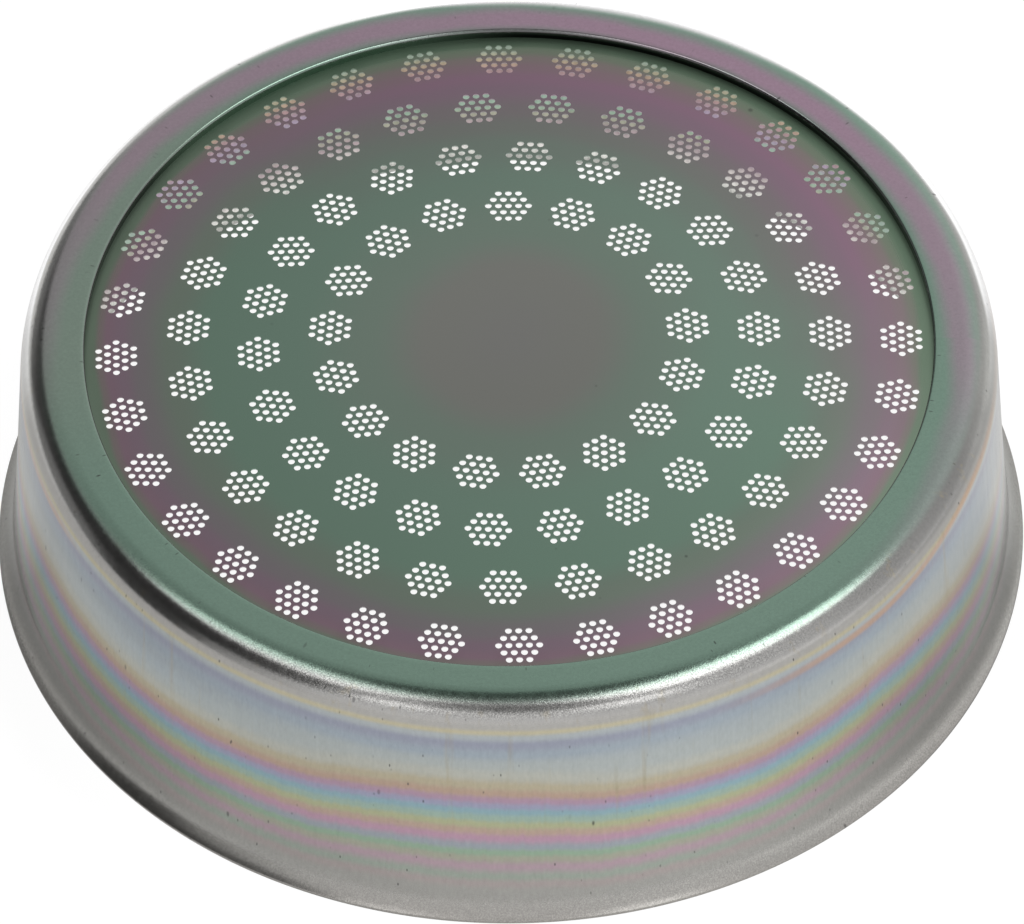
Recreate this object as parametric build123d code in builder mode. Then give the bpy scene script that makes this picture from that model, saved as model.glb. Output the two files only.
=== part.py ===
from build123d import *
from math import cos, pi, radians, sin, tan
import os

# Shower screen of an espresso machine: a drawn sheet ring with a domed, perforated membrane
# under its rim. Millimetres and degrees. Z = 0 is the plane of the lip's trimmed edge.

# Shell
shell_height = 16.6           # trimmed edge of the lip to the top of the flat rim
body_diameter = 56.7          # outside of the wall, where the rolled shoulder ends
rim_reach = 3.75              # round opening's edge, inward from the body's radius
lip_reach = 1.65              # lip's trimmed edge, outward from the body's radius
shell_sheet = 0.6
shoulder_radius = 2.1         # outside of the roll between the rim and the wall
wall_draft = 3.0              # the wall widens downward by this angle
flare_height = 8.8            # the straight wall ends here
flare_spread = 0.42           # how far the flare opens before the lip bends outward
lip_bend_height = 2.2
lip_edge = 0.2                # height of the trimmed edge where the lip is widest
trim_allowance = 0.8          # sheet beyond the lip that is trimmed off

# Membrane
membrane_sheet = 0.12
dome_rise = 1.15              # middle of the dome above the flat border
visible_border = 0.3          # flat border inside the shell's opening
membrane_edge_gap = 0.15      # membrane's rim to the start of the shell's roll

# Perforation: rings of hole clusters that all start on one radial line
ring_count = 4
outer_ring_inset = 1.55       # outer ring to the edge of the dome
outer_ring_spacing = 4.47     # along the outer ring, rounded to whole clusters
ring_pitch = 4.12
clusters_added = 5            # each ring has this many more than the one inside it
start_angle = 68.5
holes_per_side = 3            # a cluster is a hexagon of fine holes
hole_pitch = 0.586
hole_diameter = 0.37

# Levels and radii that follow from the sizes above
body_radius = body_diameter / 2
opening_radius = body_radius - rim_reach
lip_radius = body_radius + lip_reach
flat_radius = body_radius - shoulder_radius * cos(radians(wall_draft))
shoulder_end_height = shell_height - shoulder_radius * (1 - sin(radians(wall_draft)))
flare_radius = body_radius + (shoulder_end_height - flare_height) * tan(radians(wall_draft))
lip_bend_radius = flare_radius + flare_spread
seat_height = shell_height - shell_sheet
dome_radius = opening_radius - visible_border
dome_sphere_radius = (dome_radius ** 2 + dome_rise ** 2) / (2 * dome_rise)
dome_sphere_height = seat_height + dome_rise - dome_sphere_radius
border_foot_height = seat_height - membrane_sheet
membrane_radius = flat_radius - membrane_edge_gap
outer_ring_radius = dome_radius - outer_ring_inset
outer_ring_clusters = round(2 * pi * outer_ring_radius / outer_ring_spacing)
cluster_apothem = (holes_per_side - 1) * hole_pitch * cos(radians(30)) + hole_diameter / 2


# Shell: the outside line of the sheet, thickened inward, turned about the axis, then trimmed
# flat at the foot and round at the lip
with BuildPart() as shell:
    with BuildSketch(Plane.XZ):
        with BuildLine():
            rim = Line((opening_radius, shell_height), (flat_radius, shell_height))
            shoulder = JernArc(rim @ 1, rim % 1, shoulder_radius, wall_draft - 90)
            wall = Line(shoulder @ 1, (flare_radius, flare_height))
            flare = TangentArc(wall @ 1, (lip_bend_radius, lip_bend_height), tangent=wall % 1)
            lip = TangentArc(flare @ 1, (lip_radius, lip_edge), tangent=flare % 1)
            Line(lip @ 1, lip @ 1 + (lip % 1) * trim_allowance)
            offset(amount=shell_sheet, side=Side.RIGHT)
        make_face()
    revolve(axis=Axis.Z)
    split(bisect_by=Plane.XY, keep=Keep.TOP)
    with BuildSketch():
        Circle(lip_radius)
    extrude(amount=2 * shell_height, mode=Mode.INTERSECT)
shell.part.label = "shell"


# Membrane: a shallow dome between two equal spheres, with a flat border that lies against the
# rim's underside. The spheres' poles point sideways, so none of them falls on the dome.
with BuildPart() as membrane:
    with BuildSketch(Plane.XY.offset(border_foot_height)):
        Circle(dome_radius)
    extrude(amount=membrane_sheet + dome_rise)
    with Locations((0, 0, dome_sphere_height)):
        Sphere(dome_sphere_radius, rotation=(0, 90, 0), mode=Mode.INTERSECT)
    with Locations((0, 0, dome_sphere_height - membrane_sheet)):
        Sphere(dome_sphere_radius, rotation=(0, 90, 0), mode=Mode.SUBTRACT)
    with BuildSketch(Plane.XY.offset(border_foot_height)):
        Circle(membrane_radius)
        Circle(dome_radius, mode=Mode.SUBTRACT)
    extrude(amount=membrane_sheet)
    # Each cluster of fine holes is one six-sided opening that just holds them
    with BuildSketch(Plane.XY.offset(seat_height)):
        for ring in range(ring_count):
            ring_radius = outer_ring_radius - ring * ring_pitch
            clusters = outer_ring_clusters - ring * clusters_added
            with PolarLocations(ring_radius, clusters, start_angle):
                RegularPolygon(cluster_apothem, 6, major_radius=False, rotation=30)
    extrude(amount=2 * dome_rise, both=True, mode=Mode.SUBTRACT)
membrane.part.label = "membrane"


os.makedirs("parts", exist_ok=True)
export_step(shell.part, "parts/shell.step")
export_step(membrane.part, "parts/membrane.step")
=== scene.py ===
from math import atan2, cos, hypot, pi, radians, sin, sqrt, tan

import bpy
from mathutils import Matrix, Vector
from mathutils.geometry import delaunay_2d_cdt

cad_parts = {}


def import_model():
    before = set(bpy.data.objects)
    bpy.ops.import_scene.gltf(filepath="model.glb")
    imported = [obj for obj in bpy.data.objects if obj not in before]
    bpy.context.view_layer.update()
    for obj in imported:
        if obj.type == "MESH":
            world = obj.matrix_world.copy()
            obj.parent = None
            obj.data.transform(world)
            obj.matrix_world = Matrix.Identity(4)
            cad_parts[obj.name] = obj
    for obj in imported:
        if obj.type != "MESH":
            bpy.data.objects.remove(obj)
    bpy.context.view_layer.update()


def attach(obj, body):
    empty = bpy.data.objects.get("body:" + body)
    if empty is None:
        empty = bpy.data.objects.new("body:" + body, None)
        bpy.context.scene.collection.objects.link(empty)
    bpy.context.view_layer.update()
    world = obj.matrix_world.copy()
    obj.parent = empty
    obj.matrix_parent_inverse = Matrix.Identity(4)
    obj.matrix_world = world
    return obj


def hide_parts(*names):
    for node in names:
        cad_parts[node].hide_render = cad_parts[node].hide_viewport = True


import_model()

scene = bpy.context.scene
MM = 0.001

# Shell, in millimetres
shell_height = 16.6
opening_radius = 24.6
body_radius = 28.35
shell_sheet = 0.6
shoulder_radius = 2.1
wall_draft = radians(3)
flare_height = 8.8
flare_spread = 0.42
lip_bend_height = 2.2
lip_radius = 30.0
lip_edge = 0.2                # height of the trimmed edge
lip_rounding = 0.09           # worn corners of the trimmed edge
opening_rounding = 0.2
foot_corner = ((0.05, 0), (0.01, 0.03))     # inner corner of the foot: outward and up
inner_clearance = 0.08        # points of the inner side below this height give way to the corner
point_gap = 0.02              # least distance from a rounding's end to the next point
shell_segments = 720
rim_steps = 4
shoulder_steps = 20
wall_steps = 6
flare_steps = 12
lip_steps = 16
opening_steps = 5
upper_corner_steps = 5
lower_corner_steps = 6

# Membrane, in millimetres
membrane_sheet = 0.12
dome_rise = 1.15
dome_radius = opening_radius - 0.3
border_radius = 26.1
hole_pitch = 0.586
hole_radius = 0.2
hole_radius_below = 0.235
holes_per_side = 3            # a cluster is a hexagon of fine holes
ring_count = 4
first_ring_radius = 10.39
ring_pitch = 4.12
first_ring_clusters = 17
clusters_added = 5            # each ring has this many more than the one inside it
start_angle = radians(68.5)
point_spacing = 1.5           # of the plain sheet between the clusters
cluster_reach = 1.62          # no such point lies nearer to a cluster's centre
border_segments = 240
merge_distance = 1e-6         # of the triangulation

SHARP_ANGLE = radians(32)


# Mesh helpers

def new_object(name, vertices, faces, node):
    mesh = bpy.data.meshes.new(name)
    mesh.from_pydata([tuple(c * MM for c in v) for v in vertices], [], faces)
    mesh.validate()
    mesh.polygons.foreach_set("use_smooth", [True] * len(mesh.polygons))
    mesh.set_sharp_from_angle(angle=SHARP_ANGLE)
    obj = bpy.data.objects.new(name, mesh)
    scene.collection.objects.link(obj)
    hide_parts(node)
    return obj


def tangent_arc(start, direction, end, steps):
    """Points with their outward normals on the arc that leaves start along direction and meets end."""
    normal = (-direction[1], direction[0])
    chord = (end[0] - start[0], end[1] - start[1])
    across = chord[0] * normal[0] + chord[1] * normal[1]
    radius = (chord[0] ** 2 + chord[1] ** 2) / (2 * across)
    centre = (start[0] + radius * normal[0], start[1] + radius * normal[1])
    first = atan2(start[1] - centre[1], start[0] - centre[0])
    sweep = atan2(end[1] - centre[1], end[0] - centre[0]) - first
    sweep = (sweep + pi) % (2 * pi) - pi
    side = -1 if radius > 0 else 1
    reach = abs(radius)
    points = []
    for i in range(steps + 1):
        a = first + sweep * i / steps
        points.append((centre[0] + reach * cos(a), centre[1] + reach * sin(a), side * cos(a), side * sin(a)))
    return points


def line(start, end, steps, normal):
    return [(start[0] + (end[0] - start[0]) * i / steps, start[1] + (end[1] - start[1]) * i / steps,
             normal[0], normal[1]) for i in range(steps + 1)]


def direction_at(point):
    return (point[3], -point[2])


def rounding(centre, radius, first, last, steps):
    points = []
    for i in range(steps + 1):
        a = first + (last - first) * i / steps
        points.append((centre[0] + radius * cos(a), centre[1] + radius * sin(a)))
    return points


# Shell

def outside_of_shell():
    """The outside of the sheet, from the opening to the lip: points with their outward normals."""
    flat_radius = body_radius - shoulder_radius * cos(wall_draft)
    shoulder_end = shell_height - shoulder_radius * (1 - sin(wall_draft))
    flare_start = (body_radius + (shoulder_end - flare_height) * tan(wall_draft), flare_height)
    bend = (flare_start[0] + flare_spread, lip_bend_height)
    points = line((opening_radius, shell_height), (flat_radius, shell_height), rim_steps, (0, 1))
    for i in range(1, shoulder_steps + 1):
        a = (pi / 2 - wall_draft) * i / shoulder_steps
        points.append((flat_radius + shoulder_radius * sin(a),
                       shell_height - shoulder_radius + shoulder_radius * cos(a), sin(a), cos(a)))
    wall_normal = (cos(wall_draft), sin(wall_draft))
    points += line((body_radius, shoulder_end), flare_start, wall_steps, wall_normal)[1:]
    points += tangent_arc(flare_start, direction_at(points[-1]), bend, flare_steps)[1:]
    points += tangent_arc(bend, direction_at(points[-1]), (lip_radius, lip_edge), lip_steps)[1:]
    return points


def shell_profile():
    """The closed outline of the sheet, and the number of its points before the inner side."""
    outside = outside_of_shell()
    inside = [(r - shell_sheet * nr, z - shell_sheet * nz) for r, z, nr, nz in outside]

    # Worn corners of the trimmed edge, above and below its upright stretch
    lean = atan2(outside[-1][3], outside[-1][2])
    corner_radius = lip_radius - lip_rounding
    upper_centre = (corner_radius, lip_edge - lip_rounding * tan(lean / 2))
    upper = rounding(upper_centre, lip_rounding, lean, 0, upper_corner_steps)
    lower = rounding((corner_radius, lip_rounding), lip_rounding, 0, -pi / 2, lower_corner_steps)

    # The inner side ends where it meets the plane that the lip stands on
    for (r0, z0), (r1, z1) in zip(inside, inside[1:]):
        if z0 > 0 >= z1:
            foot = r0 + (r1 - r0) * z0 / (z0 - z1)
    inner = [(foot + outward, up) for outward, up in foot_corner]
    inner += [p for p in reversed(inside) if p[1] > inner_clearance]

    edge = opening_rounding
    profile = rounding((opening_radius + edge, shell_height - edge), edge, pi, pi / 2, opening_steps)
    first_radius = profile[-1][0] + point_gap
    last_height = upper[0][1] + point_gap
    profile += [(r, z) for r, z, nr, nz in outside if r > first_radius and z > last_height]
    profile += upper + lower
    return profile + inner, len(profile)


def build_shell():
    profile, inner_from = shell_profile()
    count = len(profile)
    vertices = []
    for i in range(shell_segments):
        a = 2 * pi * i / shell_segments
        vertices += [(r * cos(a), r * sin(a), z) for r, z in profile]
    faces = []
    for i in range(shell_segments):
        here, there = i * count, (i + 1) % shell_segments * count
        for j in range(count):
            k = (j + 1) % count
            faces.append((here + j, here + k, there + k, there + j))
    obj = new_object("shell_turned", vertices, faces, "shell")
    obj.data.materials.append(shell_material())
    obj.data.materials.append(inside_material())
    # The cut face of the opening, which closes the profile, keeps the outer finish
    finishes = [int(inner_from <= j < count - 1) for j in range(count)]
    obj.data.polygons.foreach_set("material_index", finishes * shell_segments)
    return obj


# Membrane

def dome_height(r):
    sphere = (dome_radius ** 2 + dome_rise ** 2) / (2 * dome_rise)
    top = shell_height - shell_sheet + dome_rise
    if r >= dome_radius:
        return shell_height - shell_sheet
    return top - sphere + sqrt(sphere ** 2 - r ** 2)


def clusters():
    """The radius and the angle of each cluster of holes."""
    for ring in range(ring_count):
        count = first_ring_clusters + ring * clusters_added
        for i in range(count):
            yield first_ring_radius + ring * ring_pitch, start_angle + 2 * pi * i / count


def holes_of_cluster():
    """Where a cluster's holes lie from its centre: outward and sideways."""
    for row in range(1 - holes_per_side, holes_per_side):
        holes = 2 * holes_per_side - 1 - abs(row)
        for j in range(holes):
            yield row * hole_pitch * cos(pi / 6), (j - (holes - 1) / 2) * hole_pitch


# Each fine hole sits in a six-sided cell, and both have twelve points on their outline
hole_angles = [k * pi / 6 for k in range(12)]
cell_points = []
for k, a in enumerate(hole_angles):
    reach = hole_pitch / sqrt(3) if k % 2 == 0 else hole_pitch / 2
    cell_points.append((reach * cos(a), reach * sin(a)))


class MembraneMesh:
    def __init__(self):
        self.vertices = []
        self.faces = []

    def add(self, x, y, below):
        z = dome_height(hypot(x, y)) - (membrane_sheet if below else 0)
        self.vertices.append((x, y, z))
        return len(self.vertices) - 1

    def punch(self, radius, turn):
        """One cluster's holes and cells. Returns their common outline: top, lower point and place."""
        shared = {}
        edges = {}

        def place(u, v):
            return (u * cos(turn) - v * sin(turn), u * sin(turn) + v * cos(turn))

        for outward, side in holes_of_cluster():
            out = radius + outward
            rim_top, rim_low, cell_top, cell_low = [], [], [], []
            for a, (cell_u, cell_v) in zip(hole_angles, cell_points):
                top = place(out + hole_radius * cos(a), side + hole_radius * sin(a))
                low = place(out + hole_radius_below * cos(a), side + hole_radius_below * sin(a))
                rim_top.append(self.add(*top, False))
                rim_low.append(self.add(*low, True))
                # Cells share the points that fall on the same hundredth of a millimetre
                u, v = out + cell_u, side + cell_v
                key = (round(u * 100), round(v * 100))
                if key not in shared:
                    xy = place(u, v)
                    shared[key] = (self.add(*xy, False), self.add(*xy, True), xy)
                cell_top.append(shared[key][0])
                cell_low.append(shared[key][1])
            for k in range(len(hole_angles)):
                n = (k + 1) % len(hole_angles)
                self.faces.append((rim_top[k], cell_top[k], cell_top[n], rim_top[n]))
                self.faces.append((rim_low[k], rim_low[n], cell_low[n], cell_low[k]))
                self.faces.append((rim_top[k], rim_top[n], rim_low[n], rim_low[k]))
                # An edge that two cells share is not on the outline
                edge = (cell_top[k], cell_top[n])
                if (edge[1], edge[0]) in edges:
                    del edges[(edge[1], edge[0])]
                else:
                    edges[edge] = True
        follow = {a: b for a, b in edges}
        lookup = {top: (low, xy) for top, low, xy in shared.values()}
        start = next(iter(follow))
        loop = [start]
        while follow[loop[-1]] != start:
            loop.append(follow[loop[-1]])
        return [(top, *lookup[top]) for top in loop]

    def fill_between(self, outlines):
        """The plain sheet between the clusters, out to the border, and the border's edge."""
        points = []
        owner = []
        polygons = []
        for loop in outlines:
            polygons.append(list(range(len(points), len(points) + len(loop))))
            for top, low, xy in loop:
                points.append(Vector(xy))
                owner.append((top, low))
        centres = [(radius * cos(a), radius * sin(a)) for radius, a in clusters()]
        levels = [point_spacing * i for i in range(round(dome_radius / point_spacing))]
        for level in levels + [dome_radius, border_radius]:
            border = level >= dome_radius
            count = border_segments if border else max(1, round(2 * pi * level / point_spacing))
            for i in range(count):
                a = 2 * pi * i / count
                x, y = level * cos(a), level * sin(a)
                if not border and any(hypot(x - cx, y - cy) < cluster_reach for cx, cy in centres):
                    continue
                points.append(Vector((x, y)))
                owner.append((self.add(x, y, False), self.add(x, y, True)))
        whole_hull = 0
        made = delaunay_2d_cdt(points, [], polygons, whole_hull, merge_distance)
        new_faces, source, inside = made[2], made[3], made[5]
        for face, within in zip(new_faces, inside):
            if within:
                continue
            corners = [source[v][0] for v in face]
            self.faces.append(tuple(owner[c][0] for c in corners))
            self.faces.append(tuple(owner[c][1] for c in reversed(corners)))
        rim = owner[-border_segments:]
        for (top, low), (next_top, next_low) in zip(rim, rim[1:] + rim[:1]):
            self.faces.append((top, low, next_low, next_top))


def build_membrane():
    mesh = MembraneMesh()
    mesh.fill_between([mesh.punch(radius, turn) for radius, turn in clusters()])
    obj = new_object("membrane_fine", mesh.vertices, mesh.faces, "membrane")
    obj.data.materials.append(membrane_material())
    return obj


# Node helpers

def grey(level):
    return (level, level, level)


def srgb(r, g, b):
    return tuple(((c / 255) / 12.92 if c / 255 < 0.04045 else ((c / 255 + 0.055) / 1.055) ** 2.4)
                 for c in (r, g, b))


class Nodes:
    def __init__(self, tree):
        self.tree = tree

    def add(self, kind, **settings):
        node = self.tree.nodes.new(kind)
        for key, value in settings.items():
            setattr(node, key, value)
        return node

    def link(self, value, socket):
        if isinstance(value, bpy.types.NodeSocket):
            self.tree.links.new(value, socket)
        else:
            socket.default_value = value

    def math(self, operation, a, b=0.0):
        node = self.add("ShaderNodeMath", operation=operation)
        for value, socket in zip((a, b), node.inputs):
            self.link(value, socket)
        return node.outputs[0]

    def plus(self, a, b):
        return self.math("ADD", a, b)

    def minus(self, a, b):
        return self.math("SUBTRACT", a, b)

    def times(self, a, b):
        return self.math("MULTIPLY", a, b)

    def split(self, vector):
        node = self.add("ShaderNodeSeparateXYZ")
        self.link(vector, node.inputs[0])
        return node.outputs

    def length(self, x, y):
        return self.math("SQRT", self.plus(self.times(x, x), self.times(y, y)))

    def range(self, value, low, high, to_low=0.0, to_high=1.0, smooth=False):
        node = self.add("ShaderNodeMapRange")
        node.interpolation_type = "SMOOTHSTEP" if smooth else "LINEAR"
        for v, name in ((value, "Value"), (low, "From Min"), (high, "From Max"),
                        (to_low, "To Min"), (to_high, "To Max")):
            self.link(v, node.inputs[name])
        return node.outputs[0]

    def noise(self, vector, scale, detail=2.0, rough=0.5):
        node = self.add("ShaderNodeTexNoise")
        for value, name in ((vector, "Vector"), (scale, "Scale"), (detail, "Detail"), (rough, "Roughness")):
            self.link(value, node.inputs[name])
        return node.outputs[0]

    def stretched_noise(self, vector, scales, detail=2.0, rough=0.5):
        """A noise with its own scale along x, y and z: the smaller it is, the longer the streaks."""
        node = self.add("ShaderNodeMapping")
        self.link(vector, node.inputs["Vector"])
        node.inputs["Scale"].default_value = scales
        return self.noise(node.outputs[0], 1.0, detail, rough)

    def vary(self, noise, low, high):
        """From low to high over the span that a noise mostly keeps to."""
        return self.range(noise, 0.3, 0.7, low, high)

    def ramp(self, value, stops):
        node = self.add("ShaderNodeValToRGB")
        node.color_ramp.interpolation = "EASE"
        elements = node.color_ramp.elements
        while len(elements) < len(stops):
            elements.new(0.5)
        for element, (position, colour) in zip(elements, stops):
            element.position = position
            element.color = (*colour, 1)
        self.link(value, node.inputs[0])
        return node.outputs[0]

    def levels(self, value, *stops):
        """A ramp through (position, level) pairs."""
        return self.ramp(value, [(position, grey(level)) for position, level in stops])

    def colours(self, value, full, *stops):
        """A ramp through (position, red, green, blue), with positions from 0 to full."""
        stops = [(position / full, srgb(*colour)) for position, *colour in stops]
        return self.ramp(self.math("DIVIDE", value, full), stops)

    def mix(self, factor, a, b, blend="MIX"):
        node = self.add("ShaderNodeMix", data_type="RGBA", blend_type=blend)
        self.link(factor, node.inputs[0])
        for value, socket in ((a, node.inputs[6]), (b, node.inputs[7])):
            if isinstance(value, bpy.types.NodeSocket):
                self.link(value, socket)
            else:
                socket.default_value = (*value, 1)
        return node.outputs[2]

    def tint(self, colour, level):
        return self.mix(1.0, colour, level, "MULTIPLY")


class Steel:
    """A metal material with what its finish is drawn by: place, x and y in metres, radius and height
    in millimetres, and turn, which runs from 0 to 1 round the axis, from the right over the back."""

    def __init__(self, name):
        self.material = bpy.data.materials.new(name)
        self.material.use_nodes = True
        self.n = Nodes(self.material.node_tree)
        self.shader = self.material.node_tree.nodes["Principled BSDF"]
        self.shader.inputs["Metallic"].default_value = 1.0
        self.place = self.n.add("ShaderNodeTexCoord").outputs["Object"]
        self.x, self.y, z = self.n.split(self.place)
        self.radius = self.n.math("DIVIDE", self.n.length(self.x, self.y), MM)
        self.height = self.n.math("DIVIDE", z, MM)
        turn = self.n.math("DIVIDE", self.n.math("ARCTAN2", self.y, self.x), 2 * pi)
        self.turn = self.n.math("FRACT", self.n.plus(turn, 1.0))

    def upright_streaks(self):
        return self.n.stretched_noise(self.place, (2600, 2600, 60), rough=0.6)

    def specks(self, place, scale, share, size):
        """1 on small dark marks, 0 elsewhere; share is the part of the cells that has one."""
        cells = self.n.add("ShaderNodeTexVoronoi")
        self.n.link(place, cells.inputs["Vector"])
        cells.inputs["Scale"].default_value = scale
        random = self.n.add("ShaderNodeSeparateColor")
        self.n.link(cells.outputs["Color"], random.inputs[0])
        chosen = self.n.math("LESS_THAN", random.outputs[0], share)
        spot = self.n.range(cells.outputs["Distance"], size, size * 0.4, smooth=True)
        return self.n.times(chosen, self.n.times(spot, random.outputs[1]))


# Finishes, with painted light and shade

def wall_colour(steel, streaks, soft):
    """Interference bands that rise and fall round the wall, and are level near its top."""
    n, turn, height = steel.n, steel.turn, steel.height
    wave = n.levels(turn, (0.0, 0.85), (0.07, 0.3), (0.18, 0.95), (0.29, 0.1), (0.42, 0.8), (0.555, 0.62),
                    (0.62, 0.98), (0.66, 0.72), (0.722, 0.05), (0.75, 0.09), (0.79, 0.6), (0.833, 0.78),
                    (0.886, 0.28), (0.958, 1.05), (1.0, 0.85))
    swing = n.times(n.range(height, 1.0, 10.0, 0.5, 1.8),
                    n.range(height, 10.6, 13.2, 1.0, 0.0, smooth=True))
    unsteady = n.range(height, 10.5, 12.5, 1.0, 0.15)
    level = n.plus(height, n.times(wave, swing))
    level = n.plus(level, n.times(n.vary(streaks, -0.07, 0.07), unsteady))
    level = n.plus(level, n.times(n.vary(soft, -0.12, 0.12), unsteady))
    bands = n.colours(
        level, shell_height,
        (0.0, 160, 157, 153), (1.9, 163, 162, 158), (2.5, 169, 160, 158), (3.1, 157, 166, 156),
        (3.95, 176, 155, 164), (4.6, 165, 166, 151), (5.1, 149, 172, 151), (5.6, 156, 163, 170),
        (6.3, 183, 150, 168), (6.9, 183, 162, 148), (7.45, 174, 177, 144), (8.0, 156, 177, 165),
        (8.55, 143, 171, 180), (9.0, 157, 158, 180), (9.5, 173, 147, 165), (10.05, 181, 158, 142),
        (10.7, 181, 172, 149), (11.5, 181, 182, 173), (12.3, 172, 178, 177), (13.1, 158, 168, 177),
        (13.95, 152, 156, 170), (14.55, 172, 178, 180), (14.9, 188, 181, 156), (15.2, 172, 170, 166),
        (15.8, 170, 169, 167))

    # A straw-coloured line crosses the blue near the top, except at the front
    line_height = n.levels(turn, (0.0, 0.915), (0.5, 0.885), (0.56, 0.868), (0.66, 0.84), (0.81, 0.835),
                           (0.875, 0.85), (0.95, 0.9), (1.0, 0.915))
    off_line = n.math("ABSOLUTE", n.minus(n.math("DIVIDE", height, shell_height), line_height))
    on_line = n.range(off_line, 0.004, 0.028, 1.0, 0.0, smooth=True)
    shown = n.levels(turn, (0.0, 0.8), (0.56, 0.8), (0.585, 0.0), (0.81, 0.0), (0.87, 0.8), (1.0, 0.8))
    bands = n.mix(n.times(on_line, shown), bands, srgb(190, 158, 134))

    # Painted light: the bands are a little lighter at the front right
    painted_front_light = n.levels(turn, (0.0, 0.88), (0.66, 0.88), (0.75, 0.96), (0.8, 1.0), (0.86, 0.92), (0.9, 0.86),
                     (1.0, 0.88))
    bands = n.tint(bands, n.times(painted_front_light, 1.14))
    # Painted shade: a darker band lies on the shoulder at the right, and a little shade is painted at the
    # front right too
    painted_shoulder_shade = n.levels(turn, (0.0, 0.55), (0.04, 0.75), (0.1, 1.0), (0.76, 1.0), (0.79, 0.9), (0.833, 0.93),
                   (0.9, 0.68), (0.95, 0.58), (1.0, 0.55))
    bands = n.mix(n.range(height, 15.3, 15.8, smooth=True), bands, n.tint(bands, painted_shoulder_shade))
    # Yellowish upright stains
    stains = n.stretched_noise(steel.place, (900, 900, 12), 3.0, 0.7)
    stained = n.times(n.range(stains, 0.6, 0.7), n.range(height, 4.0, 9.0))
    bands = n.mix(n.times(stained, 0.3), bands, srgb(168, 156, 128))
    # Painted shade: the top of the wall is darker at the left. Painted sheen: the bands are paler towards the
    # sides
    shade = n.levels(turn, (0.0, 1.0), (0.45, 1.0), (0.52, 0.84), (0.61, 0.86), (0.69, 1.0), (1.0, 1.0))
    bands = n.mix(n.range(height, 11.2, 12.6, smooth=True), bands, n.tint(bands, shade))
    painted_side_sheen = n.levels(turn, (0.0, 0.7), (0.03, 0.3), (0.1, 0.15), (0.4, 0.15), (0.48, 0.35), (0.505, 0.5),
                    (0.525, 0.1), (0.57, 0.0), (0.94, 0.0), (0.965, 0.3), (0.985, 0.7), (1.0, 0.7))
    return n.mix(painted_side_sheen, bands, srgb(164, 164, 160))


def rim_colour(steel, soft):
    """A grey-green rim with a purple crescent, which lies nearer to the opening at the back."""
    n, turn, height, radius = steel.n, steel.turn, steel.height, steel.radius
    middle = n.levels(turn, (0.0, 0.6), (0.06, 0.5), (0.12, 0.36), (0.22, 0.3), (0.32, 0.46), (0.42, 0.72),
                      (0.5, 0.95), (0.9, 0.95), (0.96, 0.78), (1.0, 0.66))
    strength = n.levels(turn, (0.0, 0.7), (0.05, 0.85), (0.12, 1.0), (0.2, 1.0), (0.3, 0.9), (0.4, 0.75),
                        (0.47, 0.45), (0.54, 0.0), (0.86, 0.0), (0.94, 0.3), (1.0, 0.7))
    across = n.plus(n.range(radius, opening_radius, 27.2), n.vary(soft, -0.06, 0.06))
    away = n.math("ABSOLUTE", n.minus(across, middle))
    purple = n.times(n.range(away, 0.08, 0.5, 1.0, 0.0, smooth=True), strength)
    green = n.colours(turn, 1.0, (0.0, 134, 161, 146), (0.32, 134, 161, 146), (0.4, 143, 161, 148),
                      (0.5, 143, 161, 148), (0.58, 134, 161, 146), (1.0, 134, 161, 146))
    rim = n.mix(purple, green, srgb(175, 148, 166))
    # Painted light: the rim is lighter towards the right and darker towards the left
    rim = n.tint(rim, n.range(steel.x, -0.026, 0.026, 0.93, 1.1))
    # Painted shade: the cut edge of the opening is dark, and painted lighter towards its top
    painted_edge_shade = n.times(n.range(radius, 24.85, 24.62), n.range(height, shell_height, 16.52))
    # The painted shade is weaker at the back left, which leaves a lighter line there
    shown = n.levels(turn, (0.0, 1.0), (0.24, 1.0), (0.29, 0.45), (0.38, 0.45), (0.42, 1.0), (1.0, 1.0))
    edge = n.mix(n.range(height, 16.22, 16.54), grey(0.008), grey(0.13))
    return n.mix(n.times(painted_edge_shade, shown), rim, edge)


def painted_shoulder_highlight(steel):
    """1 where a painted highlight lies on the back of the shoulder."""
    n, turn, height = steel.n, steel.turn, steel.height
    top = n.levels(turn, (0.0, 0.94), (0.04, 0.95), (0.085, 0.962), (0.125, 0.972), (0.17, 0.98),
                   (0.21, 0.985), (0.25, 0.98), (0.29, 0.972), (0.33, 0.962), (0.375, 0.955), (0.42, 0.95),
                   (0.46, 0.94), (1.0, 0.94))
    top = n.times(top, 17.0)
    painted_highlight = n.times(n.range(height, top, n.minus(top, 0.22), smooth=True),
                   n.range(height, 14.4, 15.2, smooth=True))
    painted_highlight = n.times(painted_highlight, n.range(steel.radius, 26.4, 27.0, smooth=True))
    return n.times(painted_highlight, n.levels(
        turn, (0.0, 0.15), (0.03, 0.85), (0.08, 1.0), (0.28, 1.0), (0.33, 0.6), (0.375, 0.55), (0.42, 0.9),
        (0.46, 1.0), (0.5, 0.35), (0.53, 0.0), (0.97, 0.0), (1.0, 0.15)))


def pits(steel):
    """Small pits and scratches: upright on the wall, radial on the rim."""
    n = steel.n
    unrolled = n.add("ShaderNodeCombineXYZ")
    n.link(n.times(steel.turn, 2 * pi * 26), unrolled.inputs[0])
    n.link(n.times(n.minus(steel.height, steel.radius), 0.35), unrolled.inputs[1])
    return n.math("MAXIMUM", steel.specks(unrolled.outputs[0], 0.8, 0.55, 0.09),
                  steel.specks(unrolled.outputs[0], 2.2, 0.4, 0.14))


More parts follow.
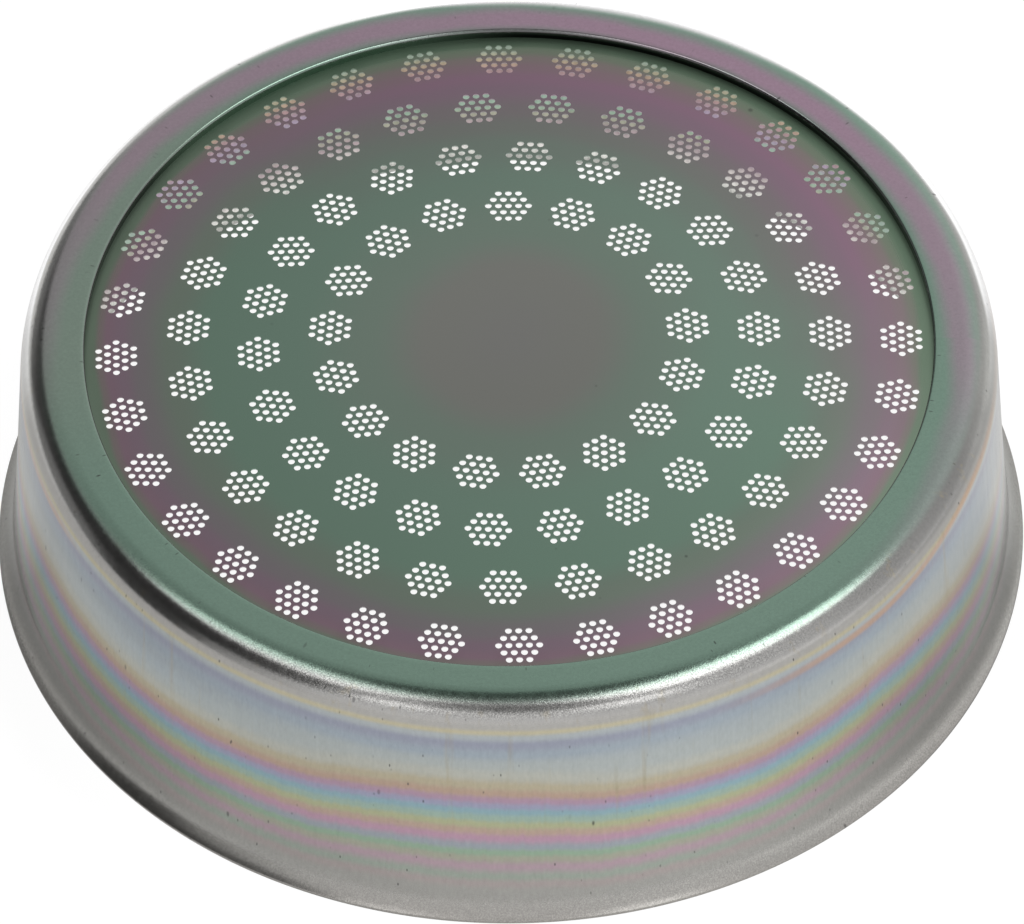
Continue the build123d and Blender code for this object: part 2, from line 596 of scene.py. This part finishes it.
def shell_material():
    steel = Steel("shell_steel_finish_and_painted_light")
    n, turn, height, place = steel.n, steel.turn, steel.height, steel.place
    streaks = steel.upright_streaks()
    soft = n.stretched_noise(place, (160, 160, 60))
    rim = rim_colour(steel, soft)
    colour = n.mix(n.range(height, 16.2, 16.56, smooth=True), wall_colour(steel, streaks, soft), rim)
    colour = n.mix(n.range(steel.radius, 24.9, 24.85), colour, rim)
    # Painted highlight: the back of the shoulder is made near white
    colour = n.mix(painted_shoulder_highlight(steel), colour, grey(0.93))

    mottle = n.stretched_noise(place, (5200, 5200, 1800), 3.0, 0.7)
    lines = n.stretched_noise(place, (3700, 3700, 30), 5.0, 0.85)
    colour = n.tint(colour, n.vary(mottle, 0.95, 1.05))
    colour = n.tint(colour, n.vary(lines, 0.965, 1.035))
    colour = n.mix(n.times(pits(steel), 0.85), colour, grey(0.06))
    # The stretched sheet of the lip and of the front of the shoulder is grainy
    grain = n.noise(place, 11000, 3.0, 0.7)
    lip = n.range(height, 0.4, 2.4, 1.0, 0.0, smooth=True)
    shoulder = n.times(n.range(height, 15.55, 15.95, smooth=True), n.range(height, shell_height, 16.5))
    shoulder = n.times(shoulder, n.levels(turn, (0.0, 0.1), (0.45, 0.1), (0.6, 0.3), (0.69, 1.0), (0.82, 1.0),
                                          (0.87, 0.3), (0.93, 0.1), (1.0, 0.1)))
    stretched = n.math("MAXIMUM", n.times(lip, 0.5), shoulder)
    colour = n.mix(stretched, colour, n.tint(colour, n.range(grain, 0.36, 0.66, 0.62, 1.3)))
    n.link(colour, steel.shader.inputs["Base Color"])

    n.link(n.plus(n.vary(streaks, 0.15, 0.21), n.times(lip, 0.04)), steel.shader.inputs["Roughness"])
    bump = n.add("ShaderNodeBump")
    bump.inputs["Distance"].default_value = 0.02 * MM
    n.link(n.plus(0.15, n.times(stretched, 0.12)), bump.inputs["Strength"])
    n.link(n.plus(streaks, grain), bump.inputs["Height"])
    n.link(bump.outputs[0], steel.shader.inputs["Normal"])
    return steel.material


def inside_material():
    steel = Steel("shell_inside_finish_and_painted_reflection")
    n = steel.n
    share = n.math("DIVIDE", steel.height, shell_height)
    # Painted reflection: the lowest part of the inside is near white, as the bright floor it mirrors; above
    # it, bands of colour
    colour = n.colours(
        share, 1.0,
        (0.0, 250, 250, 246), (0.1, 245, 245, 240), (0.2, 205, 198, 196), (0.28, 172, 156, 160),
        (0.33, 166, 166, 150), (0.37, 152, 175, 157), (0.43, 151, 171, 158), (0.5, 164, 148, 168),
        (0.57, 168, 140, 142), (0.61, 174, 152, 134), (0.645, 168, 162, 140), (0.685, 150, 164, 150),
        (0.78, 142, 164, 152), (1.0, 140, 140, 138))
    n.link(n.tint(colour, n.vary(steel.upright_streaks(), 0.8, 1.1)), steel.shader.inputs["Base Color"])
    steel.shader.inputs["Roughness"].default_value = 0.3
    return steel.material


def membrane_material():
    steel = Steel("membrane_steel_finish_and_painted_light")
    n, turn, radius, place = steel.n, steel.turn, steel.radius, steel.place
    # Rings of colour: the purple one is wider and lies further in at the back
    full = 26.0
    wander = n.plus(radius, n.vary(n.noise(place, 120), -0.2, 0.2))
    shifted = n.plus(wander, n.levels(turn, (0.0, 0.5), (0.08, 1.0), (0.33, 0.8), (0.42, 0.5), (0.5, 0.4),
                                      (0.58, 0.2), (0.75, 0.0), (0.88, 0.05), (0.95, 0.25), (1.0, 0.5)))
    plain = n.colours(
        shifted, full,
        (0.0, 137, 137, 134), (5.2, 137, 138, 133), (8.5, 127, 144, 132), (13.0, 122, 147, 132),
        (17.6, 121, 147, 131), (20.0, 127, 140, 128), (21.8, 136, 130, 133), (22.8, 143, 124, 136),
        (23.6, 145, 122, 134), (24.05, 138, 128, 127), (24.45, 121, 138, 121), (full, 122, 142, 126))
    vivid = n.colours(
        wander, full,
        (0.0, 137, 137, 134), (5.2, 137, 138, 133), (8.5, 127, 144, 132), (12.5, 124, 145, 132),
        (15.5, 126, 138, 129), (17.0, 130, 132, 128), (18.5, 135, 127, 130), (20.2, 144, 121, 136),
        (21.1, 149, 120, 138), (22.0, 145, 124, 132), (22.7, 139, 129, 127), (23.3, 124, 135, 119),
        (24.0, 112, 134, 114), (full, 112, 134, 114))
    strength = n.levels(turn, (0.0, 0.5), (0.06, 0.95), (0.12, 1.0), (0.28, 0.95), (0.34, 0.65), (0.4, 0.15),
                        (0.45, 0.0), (0.93, 0.0), (0.965, 0.2), (1.0, 0.5))
    colour = n.mix(strength, plain, vivid)
    # Painted light: lighter towards the front and right
    side = n.range(n.minus(steel.x, n.times(steel.y, 0.6)), -0.02, 0.02, 0.88, 1.19)
    painted_light_front_right = n.levels(turn, (0.0, 0.06), (0.06, 0.0), (0.76, 0.0), (0.83, 0.2), (0.92, 0.3), (0.97, 0.14),
                    (1.0, 0.06))
    side = n.plus(side, n.times(painted_light_front_right, n.range(radius, 19.0, 23.0)))
    colour = n.mix(n.range(radius, 5.0, 12.0), colour, n.tint(colour, side))
    marks = n.math("MAXIMUM", steel.specks(place, 420.0, 0.12, 0.09), steel.specks(place, 800.0, 0.06, 0.12))
    colour = n.mix(n.times(marks, 0.6), colour, grey(0.05))
    n.link(colour, steel.shader.inputs["Base Color"])
    # Duller at the edge of the opening, at the back
    dull = n.levels(turn, (0.0, 0.6), (0.05, 1.0), (0.45, 1.0), (0.5, 0.5), (0.54, 0.0), (0.96, 0.0),
                    (1.0, 0.6))
    dull = n.times(dull, n.range(radius, 23.5, 24.1, smooth=True))
    n.link(n.range(dull, 0.0, 1.0, 0.16, 0.5), steel.shader.inputs["Roughness"])
    return steel.material


# Studio, in metres

FLOOR_SIZE = 3.0
LAMP_DISTANCE = 1.5
CAMERA_ELEVATION = radians(48.63)
CAMERA_ROLL = radians(-0.63)
CAMERA_TARGET = Vector((0.103, -8.801, 16.125)) * MM
CAMERA_DISTANCE = 1.0323
SENSOR_WIDTH = 36
FOCAL_RATIO = 17.5            # focal length over the sensor's width

# The two lamps on each side: its sign and name, and the high and the low lamp's radiance
LAMPS = ((1, "right", 2.7, 1.3), (-1, "left", 1.4, 0.9))

# Patches of the studio that the steel mirrors: the direction, the angles from it at which a patch
# begins and is full, and its level
PATCHES = (
    ((0.0, -0.95, 0.3), 58, 30, 0.95),
    ((-0.65, -0.47, 0.60), 19, 10, 0.15),
    ((-0.81, -0.15, 0.57), 22, 14, 0.05),
    ((-0.83, 0.18, 0.52), 22, 14, 0.05),
    ((-0.79, 0.45, 0.42), 22, 13, 0.06),
    ((-0.69, 0.66, 0.31), 20, 10, 0.1),
    ((-0.60, 0.80, 0.08), 18, 8, 0.3),
    ((-0.95, -0.12, 0.15), 22, 13, 0.08),
    ((-0.92, 0.3, 0.1), 20, 10, 0.35),
    ((0.0, -0.58, 0.81), 17, 7, 0.25),
    ((0.0, 0.08, 1.0), 17, 9, 0.12))


def floor():
    size = FLOOR_SIZE
    mesh = bpy.data.meshes.new("floor")
    mesh.from_pydata([(-size, -size, 0), (size, -size, 0), (size, size, 0), (-size, size, 0)], [],
                     [(0, 1, 2, 3)])
    obj = bpy.data.objects.new("floor", mesh)
    scene.collection.objects.link(obj)
    material = bpy.data.materials.new("floor_white")
    material.use_nodes = True
    material.node_tree.nodes.clear()
    n = Nodes(material.node_tree)
    path = n.add("ShaderNodeLightPath")
    x, y, z = n.split(n.add("ShaderNodeTexCoord").outputs["Object"])
    radius = n.length(x, y)
    # Painted shadow: darker close beside the lip at both sides, from the middle to the front
    painted_shadow_beside_lip = n.times(n.range(n.math("ABSOLUTE", x), 0.019, 0.028, 0.0, 0.35),
                     n.range(radius, 0.036, 0.032, 0.0, 1.0))
    painted_shadow_beside_lip = n.times(painted_shadow_beside_lip, n.range(y, 0.002, -0.004))
    unshaded = n.minus(1.0, painted_shadow_beside_lip)
    # White to the camera with a faint shadow, as most of it glows and little is paint
    paint = n.minus(0.8, n.times(path.outputs["Is Camera Ray"], 0.65))
    seen = n.times(path.outputs["Is Camera Ray"], 0.93)
    # In reflections it glows too: more behind the part, and most under it
    mirrored = n.math("MAXIMUM", path.outputs["Is Glossy Ray"], path.outputs["Is Transmission Ray"])
    behind = n.math("MAXIMUM", n.range(y, 0.02, 0.05, 0.2, 0.5), n.range(radius, 0.029, 0.027, 0.0, 0.9))
    diffuse = n.add("ShaderNodeBsdfDiffuse")
    n.link(n.times(paint, unshaded), diffuse.inputs["Color"])
    emission = n.add("ShaderNodeEmission")
    n.link(n.plus(seen, n.times(mirrored, n.times(behind, unshaded))), emission.inputs["Strength"])
    both = n.add("ShaderNodeAddShader")
    n.link(diffuse.outputs[0], both.inputs[0])
    n.link(emission.outputs[0], both.inputs[1])
    # Clear from below, so that the underside can be looked at
    clear = n.add("ShaderNodeMixShader")
    n.link(n.add("ShaderNodeNewGeometry").outputs["Backfacing"], clear.inputs[0])
    n.link(both.outputs[0], clear.inputs[1])
    n.link(n.add("ShaderNodeBsdfTransparent").outputs[0], clear.inputs[2])
    out = n.add("ShaderNodeOutputMaterial")
    n.link(clear.outputs[0], out.inputs[0])
    mesh.materials.append(material)


def lamp(name, direction, size, along, radiance):
    """A softbox in that direction, whose longer side lies along the second direction."""
    data = bpy.data.lights.new(name, "AREA")
    data.shape = "RECTANGLE"
    data.size, data.size_y = size
    data.energy = radiance * pi * size[0] * size[1]
    obj = bpy.data.objects.new(name, data)
    scene.collection.objects.link(obj)
    towards = Vector(direction).normalized()
    long_side = Vector(along)
    long_side = (long_side - towards * long_side.dot(towards)).normalized()
    turn = Matrix((long_side.cross(towards), long_side, towards)).transposed().to_4x4()
    obj.matrix_world = Matrix.Translation(towards * LAMP_DISTANCE) @ turn
    obj.visible_camera = False


def world():
    studio = bpy.data.worlds.new("studio")
    scene.world = studio
    studio.use_nodes = True
    studio.node_tree.nodes.clear()
    n = Nodes(studio.node_tree)
    direction = n.add("ShaderNodeTexCoord").outputs["Generated"]
    x, y, z = n.split(direction)
    level = n.levels(n.range(z, 0.0, 1.0), (0.0, 0.95), (0.25, 0.7), (0.7, 0.66), (0.9, 0.5), (1.0, 0.45))
    level = n.tint(level, n.range(x, -1.0, 1.0, 0.6, 1.4))
    for towards, begins, full, value in PATCHES:
        along = n.add("ShaderNodeVectorMath", operation="DOT_PRODUCT")
        n.link(direction, along.inputs[0])
        along.inputs[1].default_value = Vector(towards).normalized()
        inside = n.range(along.outputs["Value"], cos(radians(begins)), cos(radians(full)), smooth=True)
        level = n.mix(inside, level, grey(value))
    back = n.add("ShaderNodeBackground")
    n.link(level, back.inputs["Color"])
    back.inputs["Strength"].default_value = 1.0
    out = n.add("ShaderNodeOutputWorld")
    n.link(back.outputs[0], out.inputs[0])


def camera():
    back = Vector((0, -cos(CAMERA_ELEVATION), sin(CAMERA_ELEVATION)))
    level_right = Vector((1, 0, 0))
    level_up = back.cross(level_right)
    right = level_right * cos(CAMERA_ROLL) + level_up * sin(CAMERA_ROLL)
    up = level_up * cos(CAMERA_ROLL) - level_right * sin(CAMERA_ROLL)
    data = bpy.data.cameras.new("camera")
    data.sensor_width = SENSOR_WIDTH
    data.lens = SENSOR_WIDTH * FOCAL_RATIO
    data.clip_start, data.clip_end = 0.05, 20
    obj = bpy.data.objects.new("camera", data)
    scene.collection.objects.link(obj)
    turn = Matrix((right, up, back)).transposed().to_4x4()
    obj.matrix_world = Matrix.Translation(CAMERA_TARGET + back * CAMERA_DISTANCE) @ turn
    scene.camera = obj


shell = build_shell()
membrane = build_membrane()
for piece in (shell, membrane):
    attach(piece, "root")

floor()
for side, name, high, low in LAMPS:
    lamp("lamp_high_" + name, (0.45 * side, -0.13, 1.0), (0.55, 1.0), (0.39 * side, 0.92, 0.0), high)
    lamp("lamp_low_" + name, (0.365 * side, -0.70, 0.61), (0.36, 0.36), (1.0, 0.0, 0.0), low)
world()
camera()
scene.view_settings.view_transform = "Standard"
